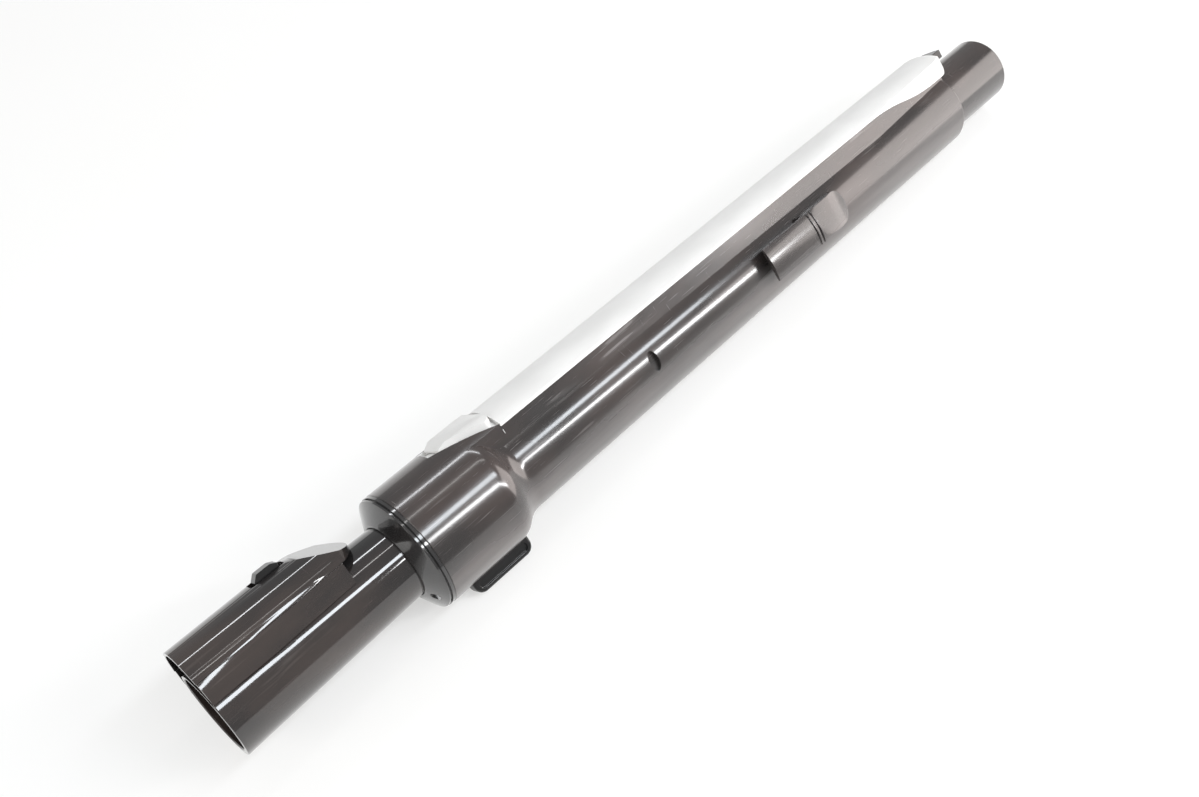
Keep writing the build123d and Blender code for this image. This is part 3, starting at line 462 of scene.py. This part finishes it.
def makeContactCover():
    h = hoodSet
    arch = arcPoints((0, h["centre"]), h["radius"], h["seamTurn"], 180 - h["seamTurn"], 72)
    cover = drawnPrism("contactCover", arch, "section", 0.05, h["nose"])
    combine(cover, hoodPlan("plan", 0), "INTERSECT")
    dip = atan2(h["top"] - h["noseHeight"], h["nose"] - h["level"])
    bendStart = h["level"] - h["bend"] * tan(dip / 2)
    side = [(-1, 5), (-1, h["top"] + 1), (bendStart - 4, h["top"] + 1)]
    side += arcPoints((bendStart, h["top"] - h["bend"]), h["bend"], 90, 90 - degrees(dip), 12)
    side += [(h["nose"] + 1, h["noseHeight"] - tan(dip)), (h["nose"] + 1, 5)]
    keep = drawnPrism("keep", side, "plan", -30, 30)
    standUp(keep)
    combine(cover, keep, "INTERSECT")
    room = arcPoints((0, h["centre"]), h["radius"] - h["wall"], -10, 190, 60)
    combine(cover, drawnPrism("room", room, "section", -2, h["roomEnd"]), "DIFFERENCE")
    x0, x1, w, r = *h["window"], h["windowHalf"], h["windowRound"]
    corners = arcPoints((x1 - r, w - r), r, 0, 90, 6) + arcPoints((x0 + r, w - r), r, 90, 180, 6)
    corners += arcPoints((x0 + r, r - w), r, 180, 270, 6) + arcPoints((x1 - r, r - w), r, 270, 360, 6)
    combine(cover, drawnPrism("window", corners, "plan", 25, 45), "DIFFERENCE")
    softEdges(cover, h["edge"], 3, 30)
    layDown(cover)
    standsFor(cover, "contact_cover", "inner", "socket")


# end ring of the collar: cone face, two rims with a groove between, seats of the two screws
ringSet = dict(
    outline=[
        (95, 18.55), (95, 20.1), (99, 27.8), (99.8, 29.0), (100.6, 29.0), (100.6, 28.2),
        (101.4, 28.2), (101.4, 29.4), (102.9, 29.4), (102.9, 26.0), (108, 26.0), (108, 18.55),
    ],
    screwCircle=23.5, screwTurns=(-146, 146), screwSeat=2.3, screwDepth=99, sides=160,
)


def makeEndRing():
    ring = turnedPiece("endRing", ringSet["outline"], ringSet["sides"])
    for turn in ringSet["screwTurns"]:
        y, z = ringSet["screwCircle"] * sin(radians(turn)), ringSet["screwCircle"] * cos(radians(turn))
        rim = arcPoints((y, z), ringSet["screwSeat"], 0, 350, 35)
        combine(ring, drawnPrism("seat", rim, "section", 90, ringSet["screwDepth"]), "DIFFERENCE")
    softEdges(ring, 0.16, 2, 34)
    layDown(ring)
    standsFor(ring, "end_ring", "outer", "ring")


# parking fin: rounded black block with a long pocket in each flank
finSet = dict(
    front=116, length=34, margin=2.6, foot=28.6, reach=37.1, width=7.0, corner=4.6, edge=1.2,
    pocketDepth=1.0, pocketWidth=4.4, pocketLow=32.9,
)


def makeParkingFin():
    f = finSet
    end, c = f["front"] + f["length"], f["corner"]
    side = [(f["front"], -f["foot"])] + arcPoints((f["front"] + c, c - f["reach"]), c, 180, 270, 10)
    side += arcPoints((end - c, c - f["reach"]), c, 270, 360, 10) + [(end, -f["foot"])]
    fin = drawnPrism("parkingFin", side, "plan", -f["width"] / 2, f["width"] / 2)
    standUp(fin)
    softEdges(fin, f["edge"], 4, 50)
    r = f["pocketWidth"] / 2
    x0, x1 = f["front"] + f["margin"] + r, end - f["margin"] - r
    slot = arcPoints((x1, -f["pocketLow"]), r, -90, 90, 12) + arcPoints((x0, -f["pocketLow"]), r, 90, 270, 12)
    for way in (-1, 1):
        floor = way * (f["width"] / 2 - f["pocketDepth"])
        pocket = drawnPrism("pocket", slot, "plan", -way * 10, -floor)
        standUp(pocket)
        combine(fin, pocket, "DIFFERENCE")
    softEdges(fin, 0.3, 2, 70)
    layDown(fin)
    standsFor(fin, "parking_fin", "outer", "black")


makeOuterTube()
makeInnerTube()
makeContactCover()
makeEndRing()
makeParkingFin()
print("tubes, contact cover, end ring and fin made")


def mergedCopy(nodeName):
    # a copy of a solid with its doubled points merged and flat faces joined
    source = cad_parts[nodeName]
    piece = source.copy()
    piece.data = source.data.copy()
    for tag in list(piece.keys()):
        del piece[tag]
    piece.name = nodeName + ".soft"
    piece.parent = None
    scene.collection.objects.link(piece)
    takeUp(piece)
    bpy.ops.object.mode_set(mode="EDIT")
    bpy.ops.mesh.select_all(action="SELECT")
    bpy.ops.mesh.remove_doubles(threshold=0.000002)
    bpy.ops.mesh.dissolve_limited(angle_limit=radians(0.3))
    bpy.ops.object.mode_set(mode="OBJECT")
    return piece


# slide button: soft rounded cap on the stem of the solid
buttonSet = dict(
    plan=[(136.2, 7.7), (162.2, 16.55)], frontRound=1.6, rearRound=3.2,
    crown=29.565, crownCentre=1.935, under=27.3, edge=1.1,
    back=[
        (136.2, 28.1), (138.6, 29.2), (141.2, 30.25), (143.8, 31.05), (146.4, 31.4),
        (149.6, 31.3), (153.5, 30.8), (158.3, 30.0), (162.2, 29.3),
    ],
)


def makeSlideButton():
    b = buttonSet
    (x0, y0), (x1, y1) = b["plan"]
    lean = degrees(atan2(y1 - y0, x1 - x0))
    r, q = b["frontRound"], b["rearRound"]
    half = arcPoints((x0 + r, y0 - r * 0.8), r, 180, 90 + lean, 6)
    half += arcPoints((x1 - q, y1 - q * 1.35), q, 90 + lean, 0, 8)
    cap = drawnPrism("slideButton", mirrored(half), "plan", 20, 40)
    side = [(x0 - 1, 15), (x0 - 1, b["back"][0][1])] + b["back"] + [(x1 + 1, b["back"][-1][1]), (x1 + 1, 15)]
    keep = drawnPrism("keep", side, "plan", -30, 30)
    standUp(keep)
    combine(cap, keep, "INTERSECT")
    combine(cap, roundBar("crown", b["crown"], x0 - 5, x1 + 5, b["crownCentre"]), "INTERSECT")
    combine(cap, roundBar("under", b["under"], x0 - 5, x1 + 5), "DIFFERENCE")
    softEdges(cap, b["edge"], 4, 38)
    layDown(cap)
    stem = mergedCopy("slide_button")
    core = roundBar("core", b["under"] + 0.3, x0 - 20, x1 + 20)
    layDown(core)
    combine(stem, core, "INTERSECT")
    combine(cap, stem, "UNION")
    standsFor(cap, "slide_button", "button", "strip", 40)


# thin pale lip that lines the walls of the tray in the collar
lipSet = dict(front=130.95, frontHalf=7.66, rear=145.0, rearHalf=12.35, thick=0.12, low=26.4, high=29.36)


def makeTrayLip():
    t = lipSet
    half = [(t["front"], t["frontHalf"]), (t["rear"], t["rearHalf"])]
    inner = [(t["front"] + t["thick"], t["frontHalf"] - t["thick"]), (t["rear"] + 2, t["rearHalf"] + 0.45)]
    lip = drawnPrism("trayLip", mirrored(half), "plan", 10, 40)
    combine(lip, drawnPrism("inner", mirrored(inner), "plan", 5, 45), "DIFFERENCE")
    combine(lip, roundBar("high", t["high"], 120, 170), "INTERSECT")
    combine(lip, roundBar("low", t["low"], 110, 180), "DIFFERENCE")
    layDown(lip)
    return lip


makeSlideButton()


def softCopy(nodeName, bodyName, edge):
    # a merged copy of a solid with softened edges and smooth flanks
    piece = mergedCopy(nodeName)
    softEdges(piece, edge, 2, 32)
    if nodeName == "top_cover":
        lip = makeTrayLip()
        takeUp(piece)
        lip.select_set(True)
        bpy.ops.object.join()
    standsFor(piece, nodeName, bodyName, nodeFinish[nodeName])


softPieces = dict(
    top_cover=("outer", 0.25), accessory_hook=("outer", 0.3),
    nozzle_latch=("latch", 0.4), handle_terminal_block=("outer", 0.3),
)
for nodeName, (bodyName, edge) in softPieces.items():
    softCopy(nodeName, bodyName, edge)
print("softened pieces:", len(softPieces))

# pale table
floorSet = dict(size=8.0, tone=(0.92, 0.915, 0.90), paleTone=(0.93, 0.93, 0.925), glowShare=0.55)
clearPick()
bpy.ops.mesh.primitive_plane_add(size=floorSet["size"], location=(0, 0, cadBox[0][2]))
floor = bpy.context.object
floor.name = "paleTable"
floorFinish, floorTree, floorShader = newFinish("tablePaper")
floorTone = ramp(floorTree, grain(floorTree, (3, 3, 3), detail=2), 0.3, 0.7)
floorTint = mixTones(floorTree, floorTone, floorSet["tone"], floorSet["paleTone"])
floorTree.links.new(floorTint, floorShader.inputs["Base Color"])
floorShader.inputs["Roughness"].default_value = 0.6
floorShader.inputs["Specular IOR Level"].default_value = 0.2
floor.data.materials.append(floorFinish)
lightPath = floorTree.nodes.new("ShaderNodeLightPath")
seen = sums(floorTree, "MAXIMUM", lightPath.outputs["Is Camera Ray"], lightPath.outputs["Is Glossy Ray"])
glow = floorTree.nodes.new("ShaderNodeEmission")
glow.inputs["Color"].default_value = (1.0, 0.997, 0.985, 1)
blend = floorTree.nodes.new("ShaderNodeMixShader")
floorTree.links.new(sums(floorTree, "MULTIPLY", seen, floorSet["glowShare"]), blend.inputs["Fac"])
floorTree.links.new(floorShader.outputs["BSDF"], blend.inputs[1])
floorTree.links.new(glow.outputs["Emission"], blend.inputs[2])
floorTree.links.new(blend.outputs["Shader"], floorTree.nodes["Material Output"].inputs["Surface"])

# soft room light, with lamps where the long highlights of the photo point
worldLight = bpy.data.worlds.new("roomLight")
scene.world = worldLight
worldLight.use_nodes = True
worldLight.node_tree.nodes["Background"].inputs["Color"].default_value = (0.98, 0.99, 1.0, 1)
worldLight.node_tree.nodes["Background"].inputs["Strength"].default_value = 0.37


def lamp(name, place, aim, along, size, power, tone):
    # a flat lamp at a place, facing a point, its long side turned along a direction
    bpy.ops.object.light_add(type="AREA", location=place)
    light = bpy.context.object
    light.name = name
    back = (Vector(place) - Vector(aim)).normalized()
    side = (Vector(along) - back * back.dot(Vector(along))).normalized()
    light.rotation_euler = Matrix((side, back.cross(side), back)).transposed().to_euler()
    light.data.shape = "RECTANGLE"
    light.data.size, light.data.size_y = size
    light.data.energy = power
    light.data.color = tone


lamps = dict(
    stripNear=((0.22, -0.70, 1.40), (-0.05, 0, 0.03), (1, 0, 0), (1.5, 0.20), 11.0, (0.90, 0.95, 1.0)),
    leftWall=((-1.30, 0.10, 0.75), (-0.15, 0, 0.03), (0, 1, 0), (0.8, 0.5), 5.0, (1.0, 0.99, 0.97)),
    stripTop=((0.32, 0.22, 1.55), (-0.05, 0, 0.03), (1, 0, 0), (1.5, 0.055), 1.6, (1.0, 0.99, 0.97)),
    sideWall=(
        (0.34, -0.63, 0.58), (0.0, 0, 0.03), (0.23, -0.05, -0.10), (0.60, 0.08), 3.2, (0.98, 0.99, 1.0),
    ),
    farWall=((1.50, -0.82, 0.52), (0.2, 0, 0.03), (0.5, 0.9, 0), (1.3, 1.3), 17.0, (1.0, 0.92, 0.885)),
    stripBack=((0.58, 1.00, 1.38), (-0.05, 0, 0.03), (1, -0.3, 0), (1.6, 0.09), 6.0, (0.95, 0.97, 1.0)),
)
for lampName, values in lamps.items():
    lamp(lampName, *values)
print("lamps:", len(lamps))
